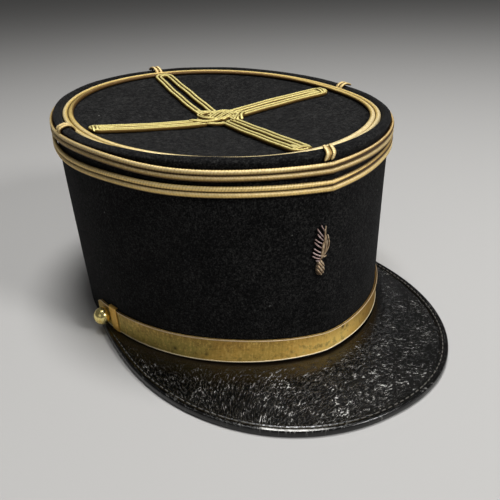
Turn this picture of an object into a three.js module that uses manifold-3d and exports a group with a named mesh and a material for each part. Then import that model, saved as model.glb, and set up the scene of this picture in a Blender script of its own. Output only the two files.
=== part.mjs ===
// A stiff round kepi: felt crown with a dished top, gold braid, a fixed chin strap and a leather peak.
// Millimetres, +Z up. The front of the hat faces -Y and the wearer's left is +X.
import * as THREE from 'three';
import Module from 'manifold-3d';

const wasm = await Module();
wasm.setup();

// Driving dimensions
const fitGap = 0.3;
const samePoint = 1e-6;
const aroundSteps = 56;
const crown = {
  footLength: 198, footWidth: 163.6,
  topLength: 195.8, topWidth: 175.8,
  tapersOver: 105, wall: 2.2,
  prow: 2.9, prowSpread: 0.32, prowPower: 1.3, prowDepth: 12,
  topSlope: 0.048, wallTop: 102.3,
};
const disc = { thick: 2, dishDepth: 7, dishPower: 1.2, edgeInset: 0.6 };
const roll = { inset: 0.2, width: 5.4, height: 4.3, frontRise: 1.4 };
const braid = { width: 5.2, thick: 1.5, groove: 0.7 };
const ringBraid = { width: 5.6, thick: 2.7, groove: 0.7 };
const upperBraidFoot = 101.4;
const lowerBraidFoot = 93.9;
const cord = { thick: 1.8, groove: 0.6 };
const knot = { turnRadius: 6.4, swing: 3.4, lift: 1, width: 3, thick: 1.2, armStart: 11.9 };
const knotArms = [
  { name: 'knot_arm_front', heading: 0, length: 82.8, width: 5.6, spacing: 6.2, near: 2.4, far: -1.2, bow: 0.3 },
  { name: 'knot_arm_back', heading: Math.PI, length: 83, width: 5.2, spacing: 7.6, near: 1.2, far: -3.7, bow: 0.3 },
  { name: 'knot_arm_left', heading: Math.PI / 2, length: 71, width: 6.3, spacing: 7, near: 2.9, far: 0.6, bow: 1.8 },
  { name: 'knot_arm_right', heading: -Math.PI / 2, length: 71.5, width: 5.2, spacing: 5.8, near: 3, far: 3, bow: 1 },
];
const rimTabs = [
  { name: 'rim_tab_front', angle: 0.02 },
  { name: 'rim_tab_left', angle: Math.PI / 2 },
  { name: 'rim_tab_back', angle: Math.PI - 0.025 },
  { name: 'rim_tab_right', angle: -Math.PI / 2 },
];
const rimLoop = { width: 5.8, thick: 1.3, groove: 0.5, from: 2.7, to: 0.66 };
const strap = {
  foot: 3.5, width: 13, thick: 1, edge: 1.3, lip: 0.4, slope: -0.015, reach: 1.5,
  narrowing: 1.8, narrowFrom: -0.6, narrowTo: 0.2, endRound: 0.07, endCut: 0.8,
};
const keeper = { near: 1.278, far: 1.342, thick: 0.7, lap: 0.4 };
const button = { angle: 1.395, height: 9.4, radius: 4.8, proud: 7, collar: 2.6 };
const peak = {
  halfWidth: 86.3, reach: 107.4, centre: -44, squareness: 2.18,
  tailShare: 0.82, tailBack: -8, tailTaper: 1.7, rootAngle: 1.47,
  rootTop: 2.6, edgeTop: 2.6, dome: 1.6, rootThick: 2.2, edgeThick: 1.7,
};
const binding = { fold: 0.6, lap: 4, tailLap: 1.9, nose: 0.6 };
const badge = {
  angle: -0.05, foot: 48.2, ballWidth: 5.5, ballTall: 8.6, relief: 2.2, strandRelief: 1.2, tipWidth: 0.5,
};
const flame = [
  { x0: 0.2, y0: 8, x1: 2.4, y1: 23.2, width: 1.9 },
  { x0: 0.6, y0: 8.4, x1: 3.4, y1: 20.4, width: 1.9 },
  { x0: 1.6, y0: 10, x1: 4.6, y1: 19.4, width: 1.6 },
  { x0: 0.9, y0: 9.2, x1: 3.6, y1: 9.9, width: 1.3 },
  { x0: 2.2, y0: 21, x1: 2.9, y1: 24.6, width: 1.2 },
  { x0: 2.2, y0: 21.4, x1: 0.2, y1: 25.2, width: 1.2 },
  { x0: 2, y0: 18.7, x1: -2, y1: 23.8, width: 1.2 },
  { x0: 1.8, y0: 17, x1: -1.9, y1: 21.2, width: 1.2 },
  { x0: 1.4, y0: 15.4, x1: -3.3, y1: 19, width: 1.2 },
  { x0: 1.2, y0: 13.6, x1: -3.6, y1: 17.4, width: 1.2 },
  { x0: 1, y0: 11.4, x1: -3.9, y1: 14.4, width: 1.2 },
  { x0: 0.8, y0: 10, x1: -4.6, y1: 12.6, width: 1.2 },
  { x0: 0.6, y0: 8.6, x1: -4.9, y1: 10.8, width: 1.2 },
  { x0: 0.6, y0: 7.4, x1: -2.8, y1: 8.1, width: 1.2 },
];

// Heights that follow from them, at the middle of the hat
const discFoot = crown.wallTop + fitGap;
const discTop = discFoot + disc.thick;
const trimFoot = discTop + fitGap;
const ringInset = roll.inset + roll.width + fitGap;
const dishInset = ringInset + ringBraid.width;

function finish(name, color, roughness, metalness) {
  return new THREE.MeshStandardMaterial({ name, color, roughness, metalness });
}

const materials = {
  felt: finish('felt', 0x121214, 0.95, 0),
  gold: finish('gold_braid', 0xc9a85c, 0.42, 0.8),
  lace: finish('gold_lace', 0x86682c, 0.5, 0.7),
  brass: finish('brass', 0xd8b650, 0.22, 1),
  leather: finish('leather', 0x14110f, 0.3, 0),
  bullion: finish('bullion', 0x8a7068, 0.45, 0.7),
};

const kepi = new THREE.Group();

// Every solid is a section carried along a path. Corners that fall together give no triangle.
function sweep({ steps, section, place, closed }) {
  const stations = closed ? steps : steps + 1;
  const corners = [];
  for (let i = 0; i < stations; i++) {
    for (const corner of section) {
      corners.push(place(i / steps, corner));
    }
  }
  const count = section.length;
  const faces = [];
  const apart = (a, b) => corners[a].distanceTo(corners[b]) > samePoint;
  const addFace = (a, b, c) => {
    if (apart(a, b) && apart(b, c) && apart(c, a)) {
      faces.push(a, b, c);
    }
  };
  for (let i = 0; i < steps; i++) {
    const here = i * count;
    const next = ((i + 1) % stations) * count;
    for (let j = 0; j < count; j++) {
      const k = (j + 1) % count;
      addFace(here + j, next + j, next + k);
      addFace(here + j, next + k, here + k);
    }
  }
  if (!closed) {
    const outline = section.map(corner => new THREE.Vector2(corner.u, corner.v));
    const last = steps * count;
    const clockwise = THREE.ShapeUtils.isClockWise(outline);
    for (const [a, b, c] of THREE.ShapeUtils.triangulateShape(outline, [])) {
      const alike = THREE.ShapeUtils.isClockWise([outline[a], outline[b], outline[c]]) === clockwise;
      const [q, r] = alike ? [b, c] : [c, b];
      addFace(a, q, r);
      addFace(last + a, last + r, last + q);
    }
  }
  return facingOut(corners, faces);
}

function facingOut(corners, faces) {
  let volume = 0;
  for (let i = 0; i < faces.length; i += 3) {
    const [a, b, c] = faces.slice(i, i + 3).map(at => corners[at]);
    volume += a.dot(b.clone().cross(c));
  }
  const geometry = new THREE.BufferGeometry().setFromPoints(corners);
  geometry.setIndex(volume < 0 ? faces.reverse() : faces);
  geometry.computeVertexNormals();
  return geometry;
}

function asSolid(geometry) {
  const vertProperties = new Float32Array(geometry.getAttribute('position').array);
  const triVerts = new Uint32Array(geometry.index.array);
  const mesh = new wasm.Mesh({ numProp: 3, vertProperties, triVerts });
  mesh.merge();
  return new wasm.Manifold(mesh);
}

// Joins pieces into one body; pockets shut in between crossing strands are filled.
function joined(geometries) {
  const solid = geometries.map(asSolid).reduce((whole, piece) => whole.add(piece));
  const [body] = solid.decompose().sort((a, b) => b.volume() - a.volume());
  const mesh = body.getMesh();
  const geometry = new THREE.BufferGeometry();
  geometry.setAttribute('position', new THREE.BufferAttribute(mesh.vertProperties, 3));
  geometry.setIndex(new THREE.BufferAttribute(mesh.triVerts, 1));
  geometry.computeVertexNormals();
  return geometry;
}

function addPiece(name, geometry, material) {
  const mesh = new THREE.Mesh(geometry, material.clone());
  mesh.name = name;
  kepi.add(mesh);
}

// The crown's outer face: an oval that widens upwards, with a soft prow at the front seam.
// The angle runs from the front towards the wearer's left.
function crownPoint(angle, inset, height, slope) {
  const rise = height / crown.tapersOver;
  const halfLength = THREE.MathUtils.lerp(crown.footLength, crown.topLength, rise) / 2 - inset;
  const halfWidth = THREE.MathUtils.lerp(crown.footWidth, crown.topWidth, rise) / 2 - inset;
  const fromFront = Math.atan2(Math.sin(angle), Math.cos(angle));
  const depthFade = THREE.MathUtils.clamp(1 - inset / crown.prowDepth, 0, 1);
  const sideFade = Math.exp(-Math.pow(Math.abs(fromFront) / crown.prowSpread, crown.prowPower));
  const prow = crown.prow * depthFade * sideFade;
  const x = halfWidth * Math.sin(angle);
  const y = -halfLength * Math.cos(angle) - prow;
  return new THREE.Vector3(x, y, height + slope * y);
}

function aroundCrown(section) {
  return sweep({
    steps: aroundSteps,
    section,
    closed: true,
    place: (t, corner) => crownPoint(t * 2 * Math.PI, corner.inset, corner.height, corner.slope),
  });
}

// A flat braid of two cords: u runs across it and v out from the cloth.
function braidSection({ width, thick, groove }) {
  const half = width / 2;
  const table = [
    { u: -1, v: 0 },
    { u: 1, v: 0 },
    { u: 0.94, v: 0.66 },
    { u: 0.52, v: 1 },
    { u: 0, v: 1 - groove / thick },
    { u: -0.52, v: 1 },
    { u: -0.94, v: 0.66 },
  ];
  return table.map(({ u, v }) => ({ u: u * half, v: v * thick }));
}

function crownSide() {
  return aroundCrown([
    { inset: 0, height: 0, slope: 0 },
    { inset: 0, height: crown.wallTop, slope: crown.topSlope },
    { inset: crown.wall, height: crown.wallTop, slope: crown.topSlope },
    { inset: crown.wall, height: 0, slope: 0 },
  ]);
}

// Height of the dished top under the trim, by the share of the way out to the ring braid
function dishDrop(share) {
  return disc.dishDepth * (1 - Math.pow(Math.min(share, 1), disc.dishPower));
}

function dishPoint(angle, share, lift) {
  const rim = crownPoint(angle, dishInset, discTop, 0);
  const height = discTop - dishDrop(share) + lift;
  return new THREE.Vector3(rim.x * share, rim.y * share, height + crown.topSlope * rim.y * share);
}

function dishHeight(x, y) {
  const front = crownPoint(0, dishInset, discTop, 0);
  const side = crownPoint(Math.PI / 2, dishInset, discTop, 0);
  const share = Math.hypot(x / side.x, y / front.y);
  return discTop - dishDrop(share) + crown.topSlope * y;
}

function crownTop() {
  const shares = [0, 0.3, 0.55, 0.8, 1];
  const face = shares.map(share => ({ share, lift: 0 }));
  const underside = shares.map(share => ({ share, lift: -disc.thick })).reverse();
  const edge = [
    { inset: disc.edgeInset, height: discTop },
    { inset: disc.edgeInset, height: discFoot },
  ];
  return sweep({
    steps: aroundSteps,
    section: [...face, ...edge, ...underside],
    closed: true,
    place: (t, corner) => {
      const angle = t * 2 * Math.PI;
      if (corner.inset !== undefined) {
        return crownPoint(angle, corner.inset, corner.height, crown.topSlope);
      }
      return dishPoint(angle, corner.share, corner.lift);
    },
  });
}

// The felt roll at the rim, higher at the front; turn 0 is its outer side and turn pi its inner side
function rollPoint(angle, turn, lift) {
  const half = roll.width / 2 + lift;
  const tall = roll.height + roll.frontRise * Math.cos(angle) + lift;
  return {
    inset: roll.inset + roll.width / 2 - half * Math.cos(turn),
    height: trimFoot + tall * Math.sin(turn),
  };
}

function rimRoll() {
  const bulge = 7;
  const section = [];
  for (let i = 0; i <= bulge; i++) {
    section.push({ turn: Math.PI * i / bulge });
  }
  return sweep({
    steps: aroundSteps,
    section,
    closed: true,
    place: (t, { turn }) => {
      const angle = t * 2 * Math.PI;
      const { inset, height } = rollPoint(angle, turn, 0);
      return crownPoint(angle, inset, height, crown.topSlope);
    },
  });
}

function sideBraid(foot) {
  return aroundCrown(braidSection(braid).map(({ u, v }) => ({
    inset: -fitGap - v,
    height: foot + braid.width / 2 + u,
    slope: crown.topSlope,
  })));
}

function topRing() {
  return aroundCrown(braidSection(ringBraid).map(({ u, v }) => ({
    inset: ringInset + ringBraid.width / 2 + u,
    height: trimFoot + v,
    slope: crown.topSlope,
  })));
}

// Short tabs of braid that cross the roll at the front, the back and both sides
function rimTab(angle) {
  const middle = crownPoint(angle, 0, discTop, 0);
  const turnPerMillimetre = 1 / Math.hypot(middle.x, middle.y);
  return sweep({
    steps: 8,
    section: braidSection(rimLoop),
    closed: false,
    place: (t, corner) => {
      const turn = THREE.MathUtils.lerp(rimLoop.from, rimLoop.to, t);
      const aside = angle + corner.u * turnPerMillimetre;
      const over = rollPoint(aside, turn, fitGap + corner.v);
      const lifted = over.height + ringBraid.thick * (1 - Math.sin(turn));
      return crownPoint(aside, over.inset, lifted, crown.topSlope);
    },
  });
}

// Each arm of the knot is a long loop: out from the middle, round a tight turn and back
function knotArm({ heading, length, width, spacing, near, far, bow }) {
  const turnSteps = 6;
  const straightSteps = 6;
  const half = spacing / 2;
  const straight = share => THREE.MathUtils.lerp(knot.armStart, length - half, share);
  const path = [];
  for (let i = 0; i < straightSteps; i++) {
    path.push({ along: straight(i / straightSteps), across: half, turn: 0 });
  }
  for (let i = 0; i <= turnSteps; i++) {
    const turn = Math.PI * i / turnSteps;
    path.push({ along: length - half + half * Math.sin(turn), across: half * Math.cos(turn), turn });
  }
  for (let i = straightSteps - 1; i >= 0; i--) {
    path.push({ along: straight(i / straightSteps), across: -half, turn: Math.PI });
  }
  const out = new THREE.Vector2(Math.sin(heading), -Math.cos(heading));
  const side = new THREE.Vector2(-out.y, out.x);
  return sweep({
    steps: path.length - 1,
    section: braidSection({ ...cord, width }),
    closed: false,
    place: (t, corner) => {
      const at = path[Math.round(t * (path.length - 1))];
      const along = at.along + corner.u * Math.sin(at.turn);
      const reached = (at.along - knot.armStart) / (length - knot.armStart);
      const shift = THREE.MathUtils.lerp(near, far, reached) + bow * Math.sin(Math.PI * reached);
      const across = at.across + corner.u * Math.cos(at.turn) + shift;
      const x = out.x * along + side.x * across;
      const y = out.y * along + side.y * across;
      return new THREE.Vector3(x, y, dishHeight(x, y) + fitGap + corner.v);
    },
  });
}

// The middle of the knot is plaited: one cord goes round three times, over and under itself
function knotCentre() {
  const half = knot.width / 2;
  const bights = 4;
  const turns = 3;
  const lookAhead = 0.01;
  const plaitPoint = travel => {
    const spread = knot.turnRadius + knot.swing * Math.cos(bights * travel);
    return new THREE.Vector2(spread * Math.sin(turns * travel), -spread * Math.cos(turns * travel));
  };
  return sweep({
    steps: 72,
    section: [
      { u: -half, v: 0 },
      { u: half, v: 0 },
      { u: half, v: 0.5 * knot.thick },
      { u: 0.5 * half, v: knot.thick },
      { u: -0.5 * half, v: knot.thick },
      { u: -half, v: 0.5 * knot.thick },
    ],
    closed: true,
    place: (t, corner) => {
      const travel = t * 2 * Math.PI;
      const at = plaitPoint(travel);
      const ahead = plaitPoint(travel + lookAhead).sub(at).normalize();
      const x = at.x - ahead.y * corner.u;
      const y = at.y + ahead.x * corner.u;
      const weave = knot.lift * (1 + Math.sin(2 * bights * travel));
      return new THREE.Vector3(x, y, dishHeight(x, y) + fitGap + weave + corner.v);
    },
  });
}

// The strap lies on the crown over the peak; u is the height above its lower edge and v the way out
function strapPoint(angle, u, v) {
  return crownPoint(angle, -fitGap - v, strap.foot + u, strap.slope);
}

function chinStrap() {
  const { width, thick, edge, lip, reach, endRound } = strap;
  const section = [
    { u: 0, v: 0 },
    { u: width, v: 0 },
    { u: width, v: edge },
    { u: width - lip, v: edge },
    { u: width - 2 * lip, v: thick },
    { u: 2 * lip, v: thick },
    { u: lip, v: edge },
    { u: 0, v: edge },
  ];
  return sweep({
    steps: 36,
    section,
    closed: false,
    place: (t, corner) => {
      const angle = THREE.MathUtils.lerp(-reach, reach, t);
      const intoEnd = Math.max(0, Math.abs(angle) - reach + endRound) / endRound;
      const narrow = Math.sqrt(1 - strap.endCut * intoEnd * intoEnd);
      const narrowed = THREE.MathUtils.smoothstep(angle, strap.narrowFrom, strap.narrowTo);
      const wide = width - strap.narrowing * narrowed;
      return strapPoint(angle, (0.5 + (corner.u / width - 0.5) * narrow) * wide, corner.v);
    },
  });
}

// A sleeve round the strap beside each button, open at the back where the strap meets the crown
function strapKeeper(side) {
  const inside = strap.edge + fitGap;
  const outside = inside + keeper.thick;
  const top = strap.width + fitGap;
  return sweep({
    steps: 4,
    section: [
      { u: -fitGap - keeper.lap, v: 0 },
      { u: -fitGap, v: 0 },
      { u: -fitGap, v: inside },
      { u: top, v: inside },
      { u: top, v: 0 },
      { u: top + keeper.lap, v: 0 },
      { u: top + keeper.lap, v: outside },
      { u: -fitGap - keeper.lap, v: outside },
    ],
    closed: false,
    place: (t, corner) => {
      const angle = side * THREE.MathUtils.lerp(keeper.near, keeper.far, t);
      return strapPoint(angle, corner.u, corner.v);
    },
  });
}

function strapButton(side) {
  const { radius, proud, collar } = button;
  const rings = 6;
  const firstTurn = -0.4;
  const profile = [
    { across: 0, out: 0 },
    { across: collar, out: 0 },
    { across: collar, out: 0.06 * proud },
  ];
  for (let i = 0; i < rings; i++) {
    const turn = THREE.MathUtils.lerp(firstTurn, Math.PI / 2, i / rings);
    profile.push({ across: radius * Math.cos(turn), out: proud - radius + radius * Math.sin(turn) });
  }
  profile.push({ across: 0, out: proud });
  const angle = side * button.angle;
  const base = strapPoint(angle, button.height - strap.foot, strap.edge + fitGap);
  const tip = strapPoint(angle, button.height - strap.foot, strap.edge + fitGap + 1);
  const turned = new THREE.Quaternion().setFromUnitVectors(
    new THREE.Vector3(0, 0, 1), tip.sub(base).normalize());
  return sweep({
    steps: 18,
    section: profile,
    closed: true,
    place: (t, { across, out }) => {
      const spin = t * 2 * Math.PI;
      const local = new THREE.Vector3(across * Math.cos(spin), across * Math.sin(spin), out);
      return local.applyQuaternion(turned).add(base);
    },
  });
}

// The peak's outer edge: a squarish half oval in front and short tails that run back along the crown
function peakOutline(t, inset) {
  const { tailShare } = peak;
  const side = Math.sign(t);
  const reached = Math.abs(t);
  if (reached <= tailShare) {
    const turn = Math.PI / 2 * reached / tailShare;
    const power = 2 / peak.squareness;
    const x = (peak.halfWidth - inset) * Math.pow(Math.sin(turn), power);
    const y = peak.centre - (peak.reach - inset) * Math.pow(Math.cos(turn), power);
    return new THREE.Vector2(side * x, y);
  }
  const back = (reached - tailShare) / (1 - tailShare);
  const x = peak.halfWidth - inset - peak.tailTaper * back * back;
  return new THREE.Vector2(side * x, THREE.MathUtils.lerp(peak.centre, peak.tailBack, back));
}

function peakPoint(t, share, depth) {
  const root = crownPoint(t * peak.rootAngle, -fitGap, peak.rootTop, strap.slope);
  const rim = peakOutline(t, binding.fold + fitGap);
  const edge = new THREE.Vector3(rim.x, rim.y, peak.edgeTop);
  const point = root.lerp(edge, share);
  const across = Math.pow(Math.cos(t * Math.PI / 2), 2);
  const swellAtThird = 4 / 27;
  const swell = share * Math.pow(1 - share, 2) / swellAtThird;
  const thickness = THREE.MathUtils.lerp(peak.rootThick, peak.edgeThick, share);
  point.z += peak.dome * across * swell - depth * thickness;
  return point;
}

function peakLeather() {
  const shares = [0, 0.25, 0.5, 0.75, 1];
  const face = shares.map(share => ({ share, depth: 0, u: share, v: 0 }));
  const underside = shares.map(share => ({ share, depth: 1, u: share, v: -1 })).reverse();
  return sweep({
    steps: 44,
    section: [...face, ...underside],
    closed: false,
    place: (t, { share, depth }) => peakPoint(2 * t - 1, share, depth),
  });
}

// A strip of leather folded round the peak's edge
function peakBinding() {
  const { fold, lap, tailLap, nose } = binding;
  const top = peak.edgeTop + fitGap;
  const foot = peak.edgeTop - peak.edgeThick - fitGap;
  return sweep({
    steps: 44,
    section: [
      { u: fold, v: foot },
      { u: fold, v: top },
      { u: lap, v: top },
      { u: lap, v: top + fold },
      { u: nose, v: top + fold },
      { u: 0, v: top },
      { u: 0, v: foot },
      { u: nose, v: foot - fold },
      { u: lap, v: foot - fold },
      { u: lap, v: foot },
    ],
    closed: false,
    place: (t, corner) => {
      const along = 2 * t - 1;
      const inTail = THREE.MathUtils.smoothstep(Math.abs(along), peak.tailShare, 1);
      const inset = corner.u === lap ? THREE.MathUtils.lerp(lap, tailLap, inTail) : corner.u;
      const at = peakOutline(along, inset);
      return new THREE.Vector3(at.x, at.y, corner.v);
    },
  });
}

// The badge is worked in thick thread: a ball with a flame of slanting strands above it
function badgePoint(across, height, out) {
  const middle = crownPoint(badge.angle, 0, badge.foot, 0);
  return crownPoint(badge.angle + across / -middle.y, -fitGap - out, badge.foot + height, 0);
}

function badgeStrand({ x0, y0, x1, y1, width }) {
  const half = width / 2;
  const run = new THREE.Vector2(x1 - x0, y1 - y0);
  const ahead = run.clone().normalize();
  return sweep({
    steps: 3,
    section: [
      { u: -half, v: 0 },
      { u: half, v: 0 },
      { u: 0.6 * half, v: badge.strandRelief },
      { u: -0.6 * half, v: badge.strandRelief },
    ],
    closed: false,
    place: (t, { u, v }) => {
      const slim = t === 1 ? badge.tipWidth : 1;
      const across = x0 + run.x * t + ahead.y * u * slim;
      const height = y0 + run.y * t - ahead.x * u * slim;
      return badgePoint(across, height, v);
    },
  });
}

function badgeBall() {
  const rings = 6;
  const section = [];
  for (let i = 0; i <= rings; i++) {
    const turn = Math.PI / 2 * i / rings;
    section.push({ across: Math.cos(turn), out: Math.sin(turn) * badge.relief });
  }
  section.push({ across: 0, out: 0 });
  return sweep({
    steps: 16,
    section,
    closed: true,
    place: (t, { across, out }) => {
      const spin = t * 2 * Math.PI;
      const x = across * Math.cos(spin) * badge.ballWidth / 2;
      const height = (1 + across * Math.sin(spin)) * badge.ballTall / 2;
      return badgePoint(x, height, out);
    },
  });
}

function flameBadge() {
  return joined([badgeBall(), ...flame.map(badgeStrand)]);
}

addPiece('crown_side', crownSide(), materials.felt);
addPiece('crown_top', crownTop(), materials.felt);
addPiece('rim_roll', rimRoll(), materials.felt);
addPiece('top_ring_braid', topRing(), materials.gold);
addPiece('knot_centre', knotCentre(), materials.gold);
for (const arm of knotArms) {
  addPiece(arm.name, knotArm(arm), materials.gold);
}
for (const tab of rimTabs) {
  addPiece(tab.name, rimTab(tab.angle), materials.gold);
}
addPiece('upper_braid', sideBraid(upperBraidFoot), materials.gold);
addPiece('lower_braid', sideBraid(lowerBraidFoot), materials.gold);
addPiece('chin_strap', chinStrap(), materials.lace);
addPiece('strap_keeper_left', strapKeeper(1), materials.lace);
addPiece('strap_keeper_right', strapKeeper(-1), materials.lace);
addPiece('strap_button_left', strapButton(1), materials.brass);
addPiece('strap_button_right', strapButton(-1), materials.brass);
addPiece('peak', peakLeather(), materials.leather);
addPiece('peak_binding', peakBinding(), materials.leather);
addPiece('badge', flameBadge(), materials.bullion);

// The origin is under the middle of the whole hat, on the surface it stands on
const group = new THREE.Group();
const bounds = new THREE.Box3().setFromObject(kepi);
kepi.position.set(0, -(bounds.min.y + bounds.max.y) / 2, 0);
group.add(kepi);

export default group;
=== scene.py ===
import math

import bmesh
import bpy
import numpy as np
from mathutils import Matrix, Vector, noise


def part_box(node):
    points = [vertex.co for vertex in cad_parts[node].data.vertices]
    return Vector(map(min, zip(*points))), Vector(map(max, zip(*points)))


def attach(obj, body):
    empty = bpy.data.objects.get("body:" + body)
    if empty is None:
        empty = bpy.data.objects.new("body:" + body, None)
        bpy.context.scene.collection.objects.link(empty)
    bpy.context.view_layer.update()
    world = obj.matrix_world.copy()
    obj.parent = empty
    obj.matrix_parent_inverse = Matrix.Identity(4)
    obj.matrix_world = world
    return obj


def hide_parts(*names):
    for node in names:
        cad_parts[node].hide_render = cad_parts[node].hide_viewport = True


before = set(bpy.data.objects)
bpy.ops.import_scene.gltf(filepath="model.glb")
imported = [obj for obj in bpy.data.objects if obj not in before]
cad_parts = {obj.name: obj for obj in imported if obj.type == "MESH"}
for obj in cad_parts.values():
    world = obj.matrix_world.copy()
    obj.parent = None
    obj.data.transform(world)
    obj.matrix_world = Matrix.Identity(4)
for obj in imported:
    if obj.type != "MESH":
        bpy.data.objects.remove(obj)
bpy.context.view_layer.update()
print("frame loaded,", len(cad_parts), "pieces in it")

toMetres = 0.001    # sizes below are in millimetres
fullTurn = 2 * math.pi
fitGap = 0.3        # air left under each sewn-on piece


# The hat's own shape
# Angles run from the front of the hat towards the wearer's left.

crown = {
    "footLength": 198, "footWidth": 163.6, "topLength": 195.8, "topWidth": 175.8,
    "tapersOver": 105, "wall": 2.2, "wallTop": 102.3, "topSlope": 0.048,
    "prow": 2.9, "prowSpread": 0.32, "prowPower": 1.3, "prowDepth": 12,
    "dent": 1.2, "dentAngle": -1.85, "dentSpread": 0.42, "dentPower": 6,
}
crownLow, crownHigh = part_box("crown_side")
hatMiddle = (crownLow.y + crownHigh.y) / 2 / toMetres + crown["prow"] / 2  # middle of the foot oval


def lerp(a, b, t):
    return a + (b - a) * t


def smoothStep(value, low, high):
    t = np.clip((value - low) / (high - low), 0, 1)
    return t * t * (3 - 2 * t)


def evenTurn(count):  # even steps round a full turn
    return np.arange(count) * fullTurn / count


def shortWay(angle):  # the same angle within half a turn of 0
    return np.arctan2(np.sin(angle), np.cos(angle))


def crownPoint(angle, inset, height, slope=0.0):
    angle, inset, height = np.broadcast_arrays(angle, inset, height)
    rise = height / crown["tapersOver"]
    fromDent = shortWay(angle - crown["dentAngle"]) / crown["dentSpread"]
    dent = crown["dent"] * np.exp(-fromDent ** 2)
    inset = inset + dent * np.clip(rise, 0, 1) ** crown["dentPower"]  # a soft dent in the worn rim
    halfLength = lerp(crown["footLength"], crown["topLength"], rise) / 2 - inset
    halfWidth = lerp(crown["footWidth"], crown["topWidth"], rise) / 2 - inset
    depthFade = np.clip(1 - inset / crown["prowDepth"], 0, 1)
    fromProw = np.abs(shortWay(angle)) / crown["prowSpread"]
    prow = crown["prow"] * depthFade * np.exp(-fromProw ** crown["prowPower"])
    x = halfWidth * np.sin(angle)
    y = -halfLength * np.cos(angle) - prow
    return np.stack([x, y, height + slope * y], -1)


def ripple(angle, across, seed, waves=10, longest=45.0):  # slow unevenness that closes round the hat
    draw = np.random.default_rng(seed)
    total = 0
    for _ in range(waves):
        around = draw.integers(2, 17)
        along = draw.uniform(-1, 1) * fullTurn / longest
        total = total + np.sin(around * angle + along * across + draw.uniform(0, fullTurn))
    return total / math.sqrt(waves)


def easedLine(line, key, angle, period=fullTurn):  # eases between the measured places
    steps = np.linspace(-line["spread"], line["spread"], 9)
    values = [np.interp(angle + step, line["angle"], line[key], period=period) for step in steps]
    return np.mean(values, axis=0)


# Meshes

def patch(points, loopRows=False, loopCols=True, capEnds=False, **marks):
    return {"points": points, "loopRows": loopRows, "loopCols": loopCols, "capEnds": capEnds, "marks": marks}


def sweepGrid(steps, section):  # every step against every point of a section
    way, at = np.meshgrid(steps, np.arange(len(section)), indexing="ij")
    return way, *np.array(section).T[:, at]


def patchFaces(part):
    rows, cols = part["points"].shape[:2]
    at = np.arange(rows * cols).reshape(rows, cols)
    grid = np.vstack([at, at[:1]]) if part["loopRows"] else at
    grid = np.hstack([grid, grid[:, :1]]) if part["loopCols"] else grid
    quads = np.stack([grid[:-1, :-1], grid[1:, :-1], grid[1:, 1:], grid[:-1, 1:]], -1).reshape(-1, 4)
    caps = [at[0].tolist(), at[-1][::-1].tolist()] if part["capEnds"] else []
    corners = part["points"].reshape(-1, 3)[quads]
    spread = np.cross(corners[:, 2] - corners[:, 0], corners[:, 3] - corners[:, 1])
    middle = part["points"].reshape(-1, 3).mean(0)
    if (spread * (corners.mean(1) - middle)).sum() < 0:  # faces look out
        quads = quads[:, ::-1]
        caps = [cap[::-1] for cap in caps]
    return quads.tolist() + caps


def addObject(name, data):
    thing = bpy.data.objects.new(name, data)
    bpy.context.scene.collection.objects.link(thing)
    return thing


def weldClose(mesh, distance):
    work = bmesh.new()
    work.from_mesh(mesh)
    bmesh.ops.remove_doubles(work, verts=work.verts, dist=distance * toMetres)
    bmesh.ops.dissolve_degenerate(work, edges=work.edges, dist=distance * toMetres / 10)
    work.to_mesh(mesh)
    work.free()


def makePiece(name, patches, finish, nodes, weld=0.0, sharp=50):
    corners, faces, start = [], [], 0
    for part in patches:
        corners.append(part["points"].reshape(-1, 3))
        faces += [[at + start for at in face] for face in patchFaces(part)]
        start += len(corners[-1])
    corners = (np.concatenate(corners) + [0, hatMiddle, 0]) * toMetres
    mesh = bpy.data.meshes.new(name)
    mesh.from_pydata(corners.tolist(), [], faces)
    for mark in patches[0]["marks"]:
        values = np.concatenate([np.ravel(part["marks"][mark]) for part in patches])
        mesh.attributes.new(mark, "FLOAT", "POINT").data.foreach_set("value", values.astype(np.float32))
    piece = addObject(name, mesh)
    if weld:
        weldClose(mesh, weld)
    mesh.shade_smooth()
    mesh.set_sharp_from_angle(angle=math.radians(sharp))
    mesh.materials.append(finish)
    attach(piece, "root")
    if nodes:
        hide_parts(*nodes)
    print("  made", name, len(faces), "faces")


# Cords of twisted thread, laid on any surface(travel, across, out)

def pathLength(surface, across, out, steps=400):
    travel = np.linspace(0, 1, steps)[:, None]
    line = surface(travel, np.full_like(travel, across), np.full_like(travel, out))[:, 0]
    return np.linalg.norm(np.diff(line, axis=0), axis=1).sum()


def twistedCord(surface, across, out, half, pitch=1.0, lay=2, ribDepth=0.09, ring=12, perRib=4,
                tip=0.0, loop=False):
    length = pathLength(surface, across, out)
    ribs = max(3, round(length / pitch))
    steps = ribs * perRib
    travel = np.arange(steps) / steps if loop else np.linspace(0, 1, steps + 1)
    along, spin = np.meshgrid(travel, evenTurn(ring), indexing="ij")
    ridge = np.abs(np.sin((fullTurn * ribs * along + lay * spin) / 2))
    swell = 1 - ribDepth * (1 - ridge)
    if not loop:  # rounded ends
        toEnd = np.clip(np.minimum(along, 1 - along) * length / max(half), 0.02, 1)
        swell = swell * np.sqrt(1 - (1 - toEnd) ** 2)
    points = surface(along, across + half[0] * swell * np.cos(spin), out + half[1] * swell * np.sin(spin))
    # proud is 1 on each cord's crest, turned by tip; the gold finishes paint shade and highlight from it
    cord = patch(points, loopRows=loop, capEnds=not loop, along=along * length, turn=spin / fullTurn * lay,
                 ridge=ridge, proud=0.5 + 0.5 * np.sin(spin + tip), sheen=np.ones_like(along))
    return {**cord, "spin": spin}


def doubleCord(surface, width, thick, fill=0.98, **options):  # two cords side by side, twisted opposite ways
    quarter = width / 4
    half = (quarter * fill, thick / 2)
    return [twistedCord(surface, side * quarter, thick / 2, half, lay=side * 2, **options)
            for side in (-1, 1)]


def fadeMark(cord, mark, share):
    cord["marks"][mark] = cord["marks"][mark] * share


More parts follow.
